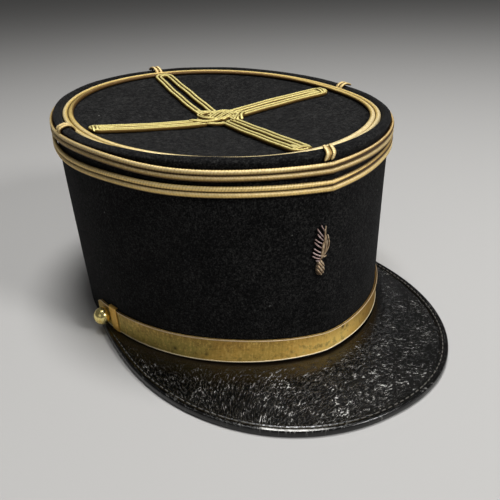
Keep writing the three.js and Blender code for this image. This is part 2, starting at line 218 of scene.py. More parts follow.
def shadeTape(surface, width, underShade, pitch=4, **options):  # a dark flat cord under the cords, painted shade in the gaps between them
    half = (width * underShade["fill"], underShade["half"])
    cord = twistedCord(surface, 0.0, underShade["out"], half, pitch=pitch, **options)
    fadeMark(cord, "proud", underShade["shade"])
    return cord


# Finishes

class Wire:  # a socket that can be used in sums
    def __init__(self, finish, socket):
        self.finish = finish
        self.socket = socket

    def maths(self, how, other, swap=False):
        pair = (other, self) if swap else (self, other)
        return self.finish.add("ShaderNodeMath", {"operation": how}, {0: pair[0], 1: pair[1]})

    def __add__(self, other):
        return self.maths("ADD", other)

    def __radd__(self, other):
        return self.maths("ADD", other, True)

    def __sub__(self, other):
        return self.maths("SUBTRACT", other)

    def __rsub__(self, other):
        return self.maths("SUBTRACT", other, True)

    def __mul__(self, other):
        return self.maths("MULTIPLY", other)

    def __rmul__(self, other):
        return self.maths("MULTIPLY", other, True)


class Finish:
    def __init__(self, name, look):
        self.look = look
        self.material = bpy.data.materials.new(name)
        self.material.use_nodes = True
        self.tree = self.material.node_tree
        self.tree.nodes.clear()

    def add(self, kind, settings=None, sockets=None, out=0):
        node = self.tree.nodes.new(kind)
        for key, value in (settings or {}).items():
            setattr(node, key, value)
        for key, value in (sockets or {}).items():
            if isinstance(value, str):  # a colour of the look
                value = self.look[value]
            if isinstance(value, Wire):
                self.tree.links.new(value.socket, node.inputs[key])
            elif isinstance(value, tuple) and node.inputs[key].type == "RGBA":
                node.inputs[key].default_value = (*value, 1)
            else:
                node.inputs[key].default_value = value
        return Wire(self, node.outputs[out]) if node.outputs else None

    def place(self):
        return self.add("ShaderNodeTexCoord", out="Object")

    def mark(self, name):
        return self.add("ShaderNodeAttribute", {"attribute_name": name}, out="Fac")

    def grain(self, size, detail=3.0, rough=0.55, where=None, out=0):  # cloudy noise
        sockets = {"Vector": where or self.place(), "Scale": 1 / (self.look[size] * toMetres)}
        return self.add("ShaderNodeTexNoise", None, {**sockets, "Detail": detail, "Roughness": rough}, out)

    def cells(self, size, feature="F1", where=None, out="Distance"):
        sockets = {"Vector": where or self.place(), "Scale": 1 / (self.look[size] * toMetres)}
        return self.add("ShaderNodeTexVoronoi", {"feature": feature}, sockets, out)

    def between(self, value, low, high):  # 0 below low, 1 above high
        sockets = {"Value": value, "From Min": low, "From Max": high}
        return self.add("ShaderNodeMapRange", {"interpolation_type": "SMOOTHSTEP"}, sockets)

    def tint(self, share, dark, light):
        return self.add("ShaderNodeMix", {"data_type": "RGBA"}, {0: share, 6: dark, 7: light}, 2)

    def flat(self, along, across):  # a place on an unrolled surface
        return self.add("ShaderNodeCombineXYZ", None, {0: along, 1: across})

    def wave(self, phase):  # 0 to 1 and back, once for each unit of phase
        swing = self.add("ShaderNodeMath", {"operation": "SINE"}, {0: phase * fullTurn})
        return swing * 0.5 + 0.5

    def relief(self, height, depth, strength=1.0):
        sockets = {"Height": height, "Distance": depth * toMetres, "Strength": strength}
        return self.add("ShaderNodeBump", None, sockets)

    def done(self, **sockets):
        named = {key.replace("_", " "): value for key, value in sockets.items()}
        shader = self.add("ShaderNodeBsdfPrincipled", None, named)
        self.add("ShaderNodeOutputMaterial", None, {"Surface": shader})
        return self.material


feltLook = {
    "deep": (0.0003, 0.0003, 0.0004), "nap": (0.030, 0.0295, 0.028), "lint": (0.16, 0.16, 0.15),
    "fibre": 0.7, "matted": 1.5, "tuft": 2.6, "cloud": 14,
    "lintSpacing": 11, "lintSize": 0.045, "lintBend": 2, "bendSize": 2.5,
}


def straySpecks(felt):  # bits of lint, bent out of round
    bend = felt.grain("bendSize", 2, 0.5, out="Color")
    shift = (feltLook["lintBend"] * toMetres,) * 3
    bent = felt.add("ShaderNodeVectorMath", {"operation": "MULTIPLY_ADD"},
                    {0: bend, 1: shift, 2: felt.place()})
    away = felt.cells("lintSpacing", where=bent)
    cell = felt.add("ShaderNodeSeparateColor", None,
                    {0: felt.cells("lintSpacing", where=bent, out="Color")})
    speck = 1 - felt.between(away, feltLook["lintSize"] * 0.5, feltLook["lintSize"])
    return speck * felt.between(cell, 0.5, 0.55)  # in about half of the cells


def woolFelt():
    felt = Finish("wool_felt", feltLook)
    fibre = felt.grain("fibre", 4, 0.7)
    matted = felt.grain("matted", 4, 0.7)
    cloud = felt.grain("cloud", 3)
    nap = felt.between(fibre * 0.62 + matted * 0.38 + cloud * 0.1, 0.5, 0.73)
    nap = nap + felt.mark("tuft") * (felt.grain("tuft", 4, 0.75) - 0.5) * 2.4
    colour = felt.tint(nap, "deep", "nap")
    lint = straySpecks(felt)
    return felt.done(
        Base_Color=felt.tint(lint, colour, "lint"), Roughness=0.96,
        Specular_IOR_Level=0.1, Sheen_Weight=0.035, Sheen_Roughness=0.5, Sheen_Tint=(0.7, 0.7, 0.72),
        Normal=felt.relief(fibre * 0.5 + matted * 0.9 + lint * 0.6, 0.8, 0.8))


braidLook = {
    "bright": (0.78, 0.57, 0.22), "lowerLit": (1.0, 0.72, 0.26), "lemon": (0.84, 0.74, 0.205),
    # the pale worn colour is both worn thread and a painted highlight on the cords' crests
    "rose": (0.80, 0.58, 0.33), "cream": (0.75, 0.55, 0.18), "wearAndHighlight": (1.0, 0.87, 0.58),
    "dull": (0.50, 0.29, 0.07), "olive": (0.34, 0.245, 0.05),
    # painted shade: these dark colours go on the cords' lower flanks and between the cords
    "grooveAndShade": (0.06, 0.026, 0.004), "ringGrooveAndShade": (0.10, 0.05, 0.010), "knotGrooveAndShade": (0.13, 0.07, 0.011),
    "thread": 0.3, "wear": 7, "mottle": 1.7, "fine": 0.7,
}


def goldThread(name, bright="bright", dull="dull", grooveAndShade="grooveAndShade", tarnish=0.0, dark=0.5, span=0.46):
    gold = Finish(name, braidLook)
    proud = gold.mark("proud")
    thread = gold.wave(gold.mark("along") * (1 / braidLook["thread"]) + gold.mark("turn") * 2)
    wear = gold.grain("wear", 4, 0.6)
    fine = gold.grain("fine", 3, 0.6)
    worn = gold.between(wear * 0.7 + fine * 0.3, 0.62 - tarnish, 0.78 - tarnish)
    lit = gold.tint(worn, bright, dull)
    # painted sheen: a cord is tinted dull where its sheen mark is low
    lit = gold.tint((1 - gold.mark("sheen")) * 0.9, lit, dull)
    # painted highlight, partly wear: a pale tint along each cord's crest
    lit = gold.tint(gold.between(proud + fine * 0.3, 0.98, 1.22) * 0.5, lit, "wearAndHighlight")
    # painted shade: each cord darkens down its flanks towards the dark colour
    raised = gold.between(proud + fine * 0.16, dark, dark + span)
    mottled = gold.between(gold.grain("mottle", 3, 0.65), 0.36, 0.62)
    raised = raised * (0.5 + gold.between(gold.mark("ridge"), 0.0, 0.55) * 0.34 + mottled * 0.16)
    return gold.done(
        Base_Color=gold.tint(raised * (0.85 + thread * 0.15), grooveAndShade, lit), Metallic=0.45,
        Roughness=0.42 + worn * 0.14 + fine * 0.1, Specular_IOR_Level=0.4,
        Normal=gold.relief(thread * 0.5 + fine * 0.5, 0.09, 0.8))


laceLook = {
    "olive": (0.52, 0.40, 0.10), "amber": (0.94, 0.54, 0.11), "gold": (1.0, 0.70, 0.19),
    "pale": (0.98, 0.70, 0.20), "russet": (0.40, 0.205, 0.045), "brown": (0.17, 0.085, 0.018),
    "stain": (0.03, 0.032, 0.012), "rib": 0.75, "pick": 0.975, "broad": 20, "blotch": 3.4, "speckle": 1.5,
    "stretch": 0.14, "brownSide": (-100, 10), "brownFront": (10, 45), "russetTop": (11, 19),
}


def goldLace(name, smooth=False):
    lace = Finish(name, laceLook)
    along = lace.mark("along")
    across = lace.mark("across")
    stain = lace.mark("stain")
    ribs = lace.wave(along * (1 / laceLook["rib"]))
    picks = lace.wave(across * (1 / laceLook["pick"]))
    upright = lace.flat(along * toMetres, across * (laceLook["stretch"] * toMetres))
    streak = lace.grain("speckle", 3, 0.6, upright)
    broad = lace.grain("broad", 3, 0.5)
    blotch = lace.grain("blotch", 4, 0.6)
    speckle = lace.grain("speckle", 3, 0.7)
    flecks = speckle * 0.6 + streak * 0.4
    side = lace.between(along, *laceLook["brownSide"])  # browner at the wearer's right
    colour = lace.tint(lace.between(side * 0.5 + broad * 0.8, 0.35, 0.95), "olive", "amber")
    gilt = lace.between(side * 0.4 + broad * 0.7 + blotch * 0.3, 0.72, 1.05)
    colour = lace.tint(gilt, colour, "gold")
    colour = lace.tint(lace.between(blotch, 0.52, 0.7) * 0.55, colour, "brown")
    colour = lace.tint(lace.between(across + broad * 6, *laceLook["russetTop"]) * 0.6, colour, "russet")
    colour = lace.tint(lace.between(flecks + ribs * 0.06, 0.52, 0.66) * 0.6, colour, "pale")
    colour = lace.tint(lace.between(flecks + picks * 0.05, 0.47, 0.32) * 0.7, colour, "brown")
    colour = lace.tint(lace.between(along, *laceLook["brownFront"]) * 0.8, colour, "brown")
    colour = lace.tint(stain, colour, "stain")
    if smooth:
        colour = lace.tint(0.55, colour, "amber")
    weave = speckle * 0.4 if smooth else ribs * 0.45 + picks * 0.25 + speckle * 0.4
    return lace.done(
        Base_Color=colour, Metallic=0.35, Roughness=0.4 + blotch * 0.18 + stain * 0.3, Specular_IOR_Level=0.3,
        Normal=lace.relief(weave, 0.11, 0.8))


brassLook = {"clean": (1.0, 0.84, 0.34), "worn": (0.86, 0.60, 0.15), "cloud": 3, "scratch": 0.35}


def polishedBrass():
    brass = Finish("polished_brass", brassLook)
    cloud = brass.grain("cloud", 4, 0.6)
    scratch = brass.grain("scratch", 3, 0.6)
    worn = brass.between(cloud, 0.5, 0.75)
    return brass.done(
        Base_Color=brass.tint(worn, "clean", "worn"), Metallic=1.0,
        Roughness=0.21 + worn * 0.16 + scratch * 0.08,
        Normal=brass.relief(cloud * 0.6 + scratch * 0.4, 0.03, 0.5))


leatherLook = {
    # worn is the pale of worn crack lips, also painted on as their glints
    "black": (0.0010, 0.0009, 0.0008), "brown": (0.008, 0.005, 0.0023), "worn": (0.78, 0.765, 0.72),
    "haze": (0.024, 0.023, 0.020), "crack": 1.0, "fineCrack": 0.45, "break": 1.5, "chip": 0.9,
    "mottle": 4, "fine": 0.4, "patch": 11, "dust": 0.8,
}


def varnishedLeather():
    leather = Finish("varnished_leather", leatherLook)
    near = leather.mark("near")
    cracked = leather.mark("cracked")
    lips = leather.mark("lips")
    flow = leather.flat(leather.mark("flowAlong"), leather.mark("flowAcross"))
    crack = leather.cells("crack", "DISTANCE_TO_EDGE", flow)
    fineCrack = leather.cells("fineCrack", "DISTANCE_TO_EDGE", flow)
    mottle = leather.grain("mottle", 4, 0.6)
    fine = leather.grain("fine", 3, 0.6)
    broken = leather.between(leather.grain("break", 3, 0.6, flow), 0.52, 0.61)
    chipped = leather.between(leather.grain("chip", 3, 0.6, flow), 0.515, 0.61)
    dusty = leather.between(leather.grain("dust", 4, 0.75, flow), 0.44, 0.66)
    patches = 0.2 + leather.between(leather.grain("patch", 4, 0.7), 0.42, 0.58) * 0.8
    patches = patches + leather.between(lips, 1.0, 1.5)
    lip = (1 - leather.between(crack, 0.0, 0.13)) * broken
    chip = (1 - leather.between(fineCrack, 0.0, 0.15)) * chipped
    # painted glints, partly wear: pale strokes along the crack lips and chips
    wearAndHighlight = leather.between(lips * 0.4 + lip * 0.55 + chip * 0.5 + fine * 0.3, 0.54, 0.86)
    # painted reflection: the gold strap mirrored brown in the varnish near the root
    brown = leather.between(near * 0.9 + mottle * 0.4, 0.55, 1.15)
    colour = leather.tint(brown, "black", "brown")
    colour = leather.tint(dusty * cracked * patches * (1 - near), colour, "haze")
    colour = leather.tint(wearAndHighlight * cracked * patches * (1 - near * 0.85), colour, "worn")
    return leather.done(
        Base_Color=colour, Roughness=0.15 + brown * 0.14 + mottle * 0.08, Specular_IOR_Level=0.43,
        Normal=leather.relief((lip * 0.8 + chip * 0.4) * cracked + fine * 0.06, 0.34))


threadLook = {"dark": (0.02, 0.018, 0.015), "pale": (0.13, 0.12, 0.10), "grain": 0.5, "fibre": 0.3}


def plainThread():
    thread = Finish("black_thread", threadLook)
    return thread.done(
        # painted glints: the thread is tinted paler in grainy spots
        Base_Color=thread.tint(thread.grain("grain"), "dark", "pale"),
        Roughness=0.7, Normal=thread.relief(thread.grain("fibre"), 0.05))


bullionLook = {
    "rosy": (0.72, 0.58, 0.55), "rosyDark": (0.38, 0.26, 0.23),
    "olive": (0.64, 0.51, 0.31), "oliveDark": (0.34, 0.24, 0.12),
    "grooveAndShade": (0.035, 0.012, 0.010), "wear": 1.6, "fibre": 0.3,
}


def dulledBullion():
    wire = Finish("dulled_bullion", bullionLook)
    wear = wire.grain("wear", 4, 0.6)
    bare = wire.between(wear, 0.42, 0.66)
    olive = wire.tint(bare, "oliveDark", "olive")
    rosy = wire.tint(bare, "rosyDark", "rosy")
    lit = wire.tint(wire.mark("sheen"), olive, rosy)
    # partly painted shade: strands darken on their flanks, and the dark backing shows between the wire turns
    raised = wire.between(wire.mark("ridge"), 0.08, 0.6) * wire.between(wire.mark("proud"), 0.55, 0.9)
    return wire.done(
        Base_Color=wire.tint(raised, "grooveAndShade", lit), Metallic=0.75, Roughness=0.38 + wear * 0.2,
        Normal=wire.relief(wire.grain("fibre"), 0.04))


felt = woolFelt()
# dark and span set how far down each cord's flanks the painted shade reaches
braidGold = goldThread("gold_braid", dark=0.56, span=0.5)
# painted light: the lower braid gets a brighter, less shaded copy of the gold, for the shade cast on it by
# the upper braid and the roll
lowerLitGold = goldThread("lower_gold_lit", "lowerLit", tarnish=-0.04, dark=0.4, span=0.5)
knotGold = goldThread("knot_gold", "lemon", "olive", "knotGrooveAndShade", tarnish=0.02, dark=0.82, span=0.3)
ringGold = goldThread("ring_gold", "cream", "dull", "ringGrooveAndShade", tarnish=0.06, dark=0.42, span=0.5)
edgeGold = goldThread("edge_gold", "rose", "bright", tarnish=0.1)
footGold = goldThread("foot_gold", "wearAndHighlight", "bright", tarnish=0.05, dark=0.1)
lace = goldLace("gold_lace")
keeperLace = goldLace("keeper_lace", smooth=True)
brass = polishedBrass()
leather = varnishedLeather()
blackThread = plainThread()
bullion = dulledBullion()
print("finishes ready")


# Felt crown

feltWall = {
    "around": 320, "rows": 60, "innerRows": 18, "seed": 3,
    "uneven": 0.1, "evenBelow": (0.02, 0.1), "evenAbove": (0.9, 0.98),
    "outerFoot": [(0.25, 0), (0.06, 0.002), (0, 0.006)], "innerFoot": [(-0.06, 0.002), (-0.3, 0)],
}


def wallPoint(angle, inset, share):
    foot = crownPoint(angle, inset, np.zeros_like(share))
    top = crownPoint(angle, inset, np.full_like(share, crown["wallTop"]), crown["topSlope"])
    return lerp(foot, top, share[..., None])


def crownSide():
    wall = crown["wall"]
    section = [(wall * 0.5, 0)] + feltWall["outerFoot"]  # inset and share of the height
    section += [(0, share) for share in np.linspace(0.02, 1, feltWall["rows"])]
    section += [(wall, share) for share in np.linspace(1, 0.008, feltWall["innerRows"])]
    section += [(wall + step, share) for step, share in feltWall["innerFoot"]]
    spin, inset, share = sweepGrid(evenTurn(feltWall["around"]), section)
    soft = smoothStep(share, *feltWall["evenBelow"]) * (1 - smoothStep(share, *feltWall["evenAbove"]))
    inset = inset - feltWall["uneven"] * soft * ripple(spin, share * crown["wallTop"], feltWall["seed"])
    return patch(wallPoint(spin, inset, share), loopRows=True)


makePiece("crown_wall", [crownSide()], felt, ["crown_side"])

feltTop = {"around": 240, "rows": 44, "thick": 2, "dishDepth": 7, "dishPower": 1.2, "edgeInset": 0.6,
           "uneven": 0.48, "waveRun": 80, "seed": 8}
rimRoll = {"inset": 0.2, "width": 5.4, "overhang": 0.8, "frontOverhang": 0.5, "leanTurn": 0.75,
           "leanSpread": 0.4, "fullness": 0.85, "bulge": 22, "uneven": 0.14, "waveRun": 6, "seed": 21}
ringBraid = {"width": 5.8, "thick": 2.2, "tip": -0.5, "backShade": (-0.06, 0.42), "backShadeOver": (-10, 60),
             "frontHighlight": 0.3, "frontHighlightOver": (40, 80)}
rimLine = {  # lift of the felt edge, height of the roll and how far in the ring lies, round the hand-sewn rim
    "angle": (-2.3, -1.9, -1.5, -0.9, -0.65, -0.36, -0.2, 0.0, 0.5, 1.05, 1.6, 2.3, 3.14),
    "lift": (0.4, 0.4, 0.5, 0.7, 0.8, 0.8, 0.8, 0.8, 1.1, 0.3, 0.0, 0.1, 0.4),
    "roll": (3.1, 3.3, 3.6, 4.8, 4.3, 5.1, 4.9, 5.5, 4.7, 3.4, 2.6, 2.8, 3.0),
    "ring": (-0.9, -1.7, 0.4, 0.3, 0.3, 0.3, 0.3, 0.3, 0.6, -2.9, 1.2, 0.4, -0.4),
    "spread": 0.22,
}
discFoot = crown["wallTop"] + fitGap
discTop = discFoot + feltTop["thick"]
trimFoot = discTop + fitGap
ringInset = rimRoll["inset"] + rimRoll["width"] + fitGap
dishInset = ringInset + ringBraid["width"]


def rimValue(angle, key):
    return easedLine(rimLine, key, angle)


def dishDrop(share):
    return feltTop["dishDepth"] * (1 - np.minimum(share, 1) ** feltTop["dishPower"])


def dishHeight(x, y):
    front = crownPoint(0.0, dishInset, discTop)
    side = crownPoint(math.pi / 2, dishInset, discTop)
    share = np.hypot(x / side[0], y / front[1])
    lift = rimValue(np.arctan2(x, -y), "lift") * np.minimum(share, 1) ** 2
    return discTop - dishDrop(share) + lift + crown["topSlope"] * y


def crownTop():
    angle = evenTurn(feltTop["around"])
    rim = crownPoint(angle, dishInset, discTop)
    edge = rimValue(angle, "lift")

    def ring(share, lift):
        wave = ripple(angle, share * feltTop["waveRun"], feltTop["seed"])
        wave = feltTop["uneven"] * share * (1 - share) * wave
        x, y = rim[:, 0] * share, rim[:, 1] * share
        z = discTop - dishDrop(share) + lift + edge * share ** 2 + wave + crown["topSlope"] * y
        return np.stack([x, y, z], -1)

    shares = np.linspace(0, 1, feltTop["rows"])
    rows = [ring(share, 0) for share in shares]
    for height in (discTop + edge, discFoot):
        rows.append(crownPoint(angle, feltTop["edgeInset"], height, crown["topSlope"]))
    rows += [ring(share, -feltTop["thick"]) for share in shares[::-2]]
    rows = np.stack(rows, 1)
    return patch(rows, loopRows=True, loopCols=False, tuft=np.ones(rows.shape[:2]))


makePiece("crown_disc", [crownTop()], felt, ["crown_top"], weld=0.01)


def rollPoint(angle, turn, out):  # turn 0 is the outer foot of the roll and pi its inner foot
    width = rimRoll["width"] + rimValue(angle, "ring")
    rise = rimValue(angle, "roll") + out
    lean = rimRoll["overhang"] + rimRoll["frontOverhang"] * np.maximum(np.cos(angle), 0)
    bulge = lean * np.exp(-((turn - rimRoll["leanTurn"]) / rimRoll["leanSpread"]) ** 2)  # out over the braid
    inset = rimRoll["inset"] + width / 2 - (width / 2 + out) * np.cos(turn) - bulge
    return inset, trimFoot + rimValue(angle, "lift") + rise * np.sin(turn) ** rimRoll["fullness"]


def feltRoll():
    turn = np.linspace(0, math.pi, rimRoll["bulge"])
    spin, over = np.meshgrid(evenTurn(feltWall["around"]), turn, indexing="ij")
    lift = rimRoll["uneven"] * ripple(spin, over * rimRoll["waveRun"], rimRoll["seed"]) * np.sin(over)
    return patch(crownPoint(spin, *rollPoint(spin, over, lift), crown["topSlope"]), loopRows=True)


makePiece("rim_roll_felt", [feltRoll()], felt, ["rim_roll"])
print("felt crown done")


# Gold braid round the crown and on the rim

sideBraid = {
    "width": 5.4, "thick": 1.9, "pitch": 1.4, "ribDepth": 0.13, "kink": 1.1, "kinkSpread": 0.06,
    "litFrom": 0.75, "dullFrom": 1.4, "flank": 1.25, "litFlank": 1.5, "dullFlank": 3.4,
    "shadeOver": (-25, 35), "sheenOver": (-30, 75),
    "underShade": {"fill": 0.46, "out": 0.08, "half": 0.33, "shade": 0.3},
}
braidRows = [  # sheen of the lower and the upper cord, at the wearer's right and left
    {"name": "upper", "foot": 101.8, "kink": 0.4, "gold": braidGold, "sheen": [(0.5, 1.0), (1.0, 0.2)]},
    {"name": "lower", "foot": 94.5, "kink": 1.0, "gold": lowerLitGold, "sheen": [(0.8, 1.0), (1.0, 0.1)]},
]
braidLine = {  # how far each row was sewn above or below its level
    "angle": (-2.4, -1.7, -1.5, -1.38, -1.2, -1.07, -0.95, -0.85, -0.62, -0.4, -0.16, 0, 0.2, 0.5, 1.1, 2),
    "upper": (-1.3, -1.0, 0.2, 0.9, 1.2, 0.7, 0.15, -0.6, -0.75, -0.3, -0.25, -0.5, -0.4, -0.2, -0.6, -1.2),
    "lower": (-1.2, -2.0, -2.0, -1.4, -0.7, -0.4, -0.5, -0.9, -0.6, -0.3, -0.55, -1.0, -0.65, 0.6, 0.3, 0.0),
    "spread": 0.1,
}


def sideSurface(row):
    def surface(travel, across, out):
        angle = travel * fullTurn
        fold = row["kink"] * sideBraid["kink"] * np.exp(-np.abs(shortWay(angle)) / sideBraid["kinkSpread"])
        height = row["foot"] + easedLine(braidLine, row["name"], angle) + sideBraid["width"] / 2 + across
        return crownPoint(angle, -fitGap - out - fold, height, crown["topSlope"])
    return surface


def shadeSideCord(cord, right, left):  # the opposite twists catch the light in turn, with darker flanks
    x = cord["points"][..., 0]
    leftward = smoothStep(x, *sideBraid["shadeOver"])
    litFrom = lerp(sideBraid["dullFrom"], sideBraid["litFrom"], left)
    flank = lerp(sideBraid["dullFlank"], sideBraid["litFlank"], left)
    proud = 0.5 + 0.5 * np.sin(cord["spin"] + lerp(sideBraid["litFrom"], litFrom, leftward))
    cord["marks"]["proud"] = 1 - (1 - proud) * lerp(sideBraid["flank"], flank, leftward)
    cord["marks"]["sheen"] = lerp(right, left, smoothStep(x, *sideBraid["sheenOver"]))


for row in braidRows:
    surface = sideSurface(row)
    cords = doubleCord(surface, sideBraid["width"], sideBraid["thick"], loop=True,
                       pitch=sideBraid["pitch"], ribDepth=sideBraid["ribDepth"])
    for cord, sheen in zip(cords, row["sheen"]):
        shadeSideCord(cord, *sheen)
    # painted shade: a dark flat cord fills the gaps under the braid
    cords.append(shadeTape(surface, sideBraid["width"], sideBraid["underShade"], loop=True))
    makePiece("braid_" + row["name"], cords, row["gold"], [row["name"] + "_braid"])


def ringSurface(travel, across, out):
    angle = travel * fullTurn
    inset = ringInset + rimValue(angle, "ring") + ringBraid["width"] / 2 + across
    return crownPoint(angle, inset, trimFoot + rimValue(angle, "lift") + out, crown["topSlope"])


ringCords = doubleCord(ringSurface, ringBraid["width"], ringBraid["thick"], loop=True, tip=ringBraid["tip"])
for cord, fade in zip(ringCords, ringBraid["backShade"]):  # painted shade and highlight: the inner cord is painted darker towards the back, the outer one a little lighter, and both lighter at the front
    backward = smoothStep(cord["points"][..., 1], *ringBraid["backShadeOver"])
    forward = smoothStep(-cord["points"][..., 1], *ringBraid["frontHighlightOver"])
    fadeMark(cord, "proud", 1 - fade * backward + ringBraid["frontHighlight"] * forward)
makePiece("braid_ring", ringCords, ringGold, ["top_ring_braid"])

rimTab = {"thick": 1.5, "cord": 1.25, "webSheen": 0.2,
          "web": {"fill": 1, "out": 0.3, "half": 0.3, "shade": 0.8}}
tabPlaces = {
    "front": {"angle": 0.002, "slant": -3.2, "width": 6.2, "from": 1.65, "to": 0.2, "stand": 0.0},
    "left": {"angle": math.pi / 2 - 0.035, "slant": 0.0, "width": 5.6, "from": 3.05, "to": 0.8, "stand": 0.4},
    "back": {"angle": math.pi - 0.037, "slant": 3.0, "width": 5.8, "from": 3.05, "to": 0.6, "stand": 0.6},
    "right": {"angle": -1.54, "slant": 0.0, "width": 5.4, "from": 3.05, "to": 0.2, "stand": 0.0},
}


def tabSurface(tab):
    middle = crownPoint(tab["angle"], 0, discTop)
    perMillimetre = 1 / math.hypot(middle[0], middle[1])

    def surface(travel, across, out):
        turn = lerp(tab["from"], tab["to"], travel)
        angle = tab["angle"] + (across + tab["slant"] * (travel - 0.5)) * perMillimetre
        inset, height = rollPoint(angle, turn, fitGap + out + tab["stand"] * np.sin(math.pi * travel))
        return crownPoint(angle, inset, height, crown["topSlope"])
    return surface


def tabCords(tab):  # two round edge cords on a flat web, whose duller tint is partly its colour and partly painted shade
    surface = tabSurface(tab)
    aside = tab["width"] / 2 - rimTab["cord"]
    half = (rimTab["cord"], rimTab["thick"] / 2)
    cords = [twistedCord(surface, side * aside, rimTab["thick"] / 2, half, lay=2 * side) for side in (-1, 1)]
    web = shadeTape(surface, aside, rimTab["web"], pitch=1, lay=1)
    fadeMark(web, "sheen", rimTab["webSheen"])
    return cords + [web]


for place, tab in tabPlaces.items():
    makePiece("tab_" + place, tabCords(tab), braidGold, ["rim_tab_" + place])
print("rim braid done")


# Looped knot on the top

armCord = {"thick": 2.1, "fill": 0.86, "pitch": 1.2, "ribDepth": 0.12, "bowStart": 11.9,
           "splayPower": 0.7, "waver": 0.18, "waverRun": 0.23, "waverShift": 5,
           "underShade": {"fill": 0.44, "out": 0.3, "half": 0.25, "shade": 0.5}}
knotArms = [  # sideways shift of each loop at the knot and at its far end
    {"name": "front", "heading": 0, "start": 7.5, "length": 82.8, "width": 5.6, "spacing": 6.2,
     "near": 2.4, "far": -1.2, "bow": 0.3, "splay": 0.3},
    {"name": "back", "heading": math.pi, "start": 8.5, "length": 85, "width": 5.2, "spacing": 7.6,
     "near": 1.2, "far": -3.7, "bow": 0.3, "splay": 0.5},
    {"name": "left", "heading": math.pi / 2, "start": 10.5, "length": 71, "width": 6.3, "spacing": 7.0,
     "near": 2.9, "far": 0.6, "bow": 1.8, "splay": 0.1},
    {"name": "right", "heading": -math.pi / 2, "start": 11.0, "length": 71.5, "width": 5.2, "spacing": 5.8,
     "near": 3.0, "far": 3.0, "bow": 1.0, "splay": 0.0},
]
loopTie = {"back": 1.0, "lean": 1.4, "width": 3.8, "thick": 1.2, "pitch": 0.9, "inset": 1.1, "over": 0.75}
loopFill = {"from": 11, "to": 1.2, "inset": 0.6, "half": 0.95}


def onDish(heading, forward, aside, above, middle=(0, 0)):  # a place on the dished top, seen along a heading
    outX, outY = math.sin(heading), -math.cos(heading)
    x = middle[0] + outX * forward - outY * aside
    y = middle[1] + outY * forward + outX * aside
    return np.stack([x, y, dishHeight(x, y) + fitGap + above], -1)


def armSurface(arm):
    half = arm["spacing"] / 2
    leg = arm["length"] - half - arm["start"]
    total = 2 * leg + math.pi * half

    def surface(travel, across, out):
        walked = travel * total
        turn = np.clip((walked - leg) / half, 0, math.pi)
        along = arm["start"] + np.minimum(walked, leg) + half * np.sin(turn)
        along = along - np.maximum(walked - leg - math.pi * half, 0)
        reached = np.clip((along - armCord["bowStart"]) / (arm["length"] - armCord["bowStart"]), 0, 1)
        splay = arm["splay"] * np.sin(math.pi * reached ** armCord["splayPower"])
        aside = (half + across + splay) * np.cos(turn)
        aside = aside + lerp(arm["near"], arm["far"], reached) + arm["bow"] * np.sin(math.pi * reached)
        swing = np.sin(walked * armCord["waverRun"] + armCord["waverShift"] * arm["heading"])
        aside = aside + armCord["waver"] * swing * np.sin(math.pi * reached)
        return onDish(arm["heading"], along + across * np.sin(turn), aside, out)
    return surface


def tieSurface(arm):  # cords laid over the end of a loop
    wide = (arm["spacing"] + arm["width"]) / 2 - loopTie["inset"]

    def surface(travel, across, out):
        forward = arm["length"] - loopTie["back"] + loopTie["lean"] * (travel - 0.5) + across
        aside = arm["far"] + wide * (2 * travel - 1)
        arch = np.sqrt(np.sin(math.pi * np.clip(travel, 0.03, 0.97)))
        return onDish(arm["heading"], forward, aside, loopTie["over"] * armCord["thick"] * arch + out)
    return surface


def fillSurface(arm):  # a short cord inside the end of a loop
    def surface(travel, across, out):
        forward = lerp(arm["length"] - loopFill["from"], arm["length"] - loopFill["to"], travel)
        return onDish(arm["heading"], forward, arm["far"] + across, out)
    return surface


for arm in knotArms:
    surface = armSurface(arm)
    cords = doubleCord(surface, arm["width"], armCord["thick"], armCord["fill"],
                       pitch=armCord["pitch"], ribDepth=armCord["ribDepth"])
    # painted shade between the legs of the loop
    cords.append(shadeTape(surface, arm["width"], armCord["underShade"]))
    if arm["name"] != "back":  # the back loop ends under the ring
        cords += doubleCord(tieSurface(arm), loopTie["width"], loopTie["thick"], pitch=loopTie["pitch"])
        half = (arm["spacing"] / 2 - loopFill["inset"], loopFill["half"])
        cords.append(twistedCord(fillSurface(arm), 0.0, loopFill["half"], half))
    makePiece("knot_loop_" + arm["name"], cords, knotGold, ["knot_arm_" + arm["name"]])

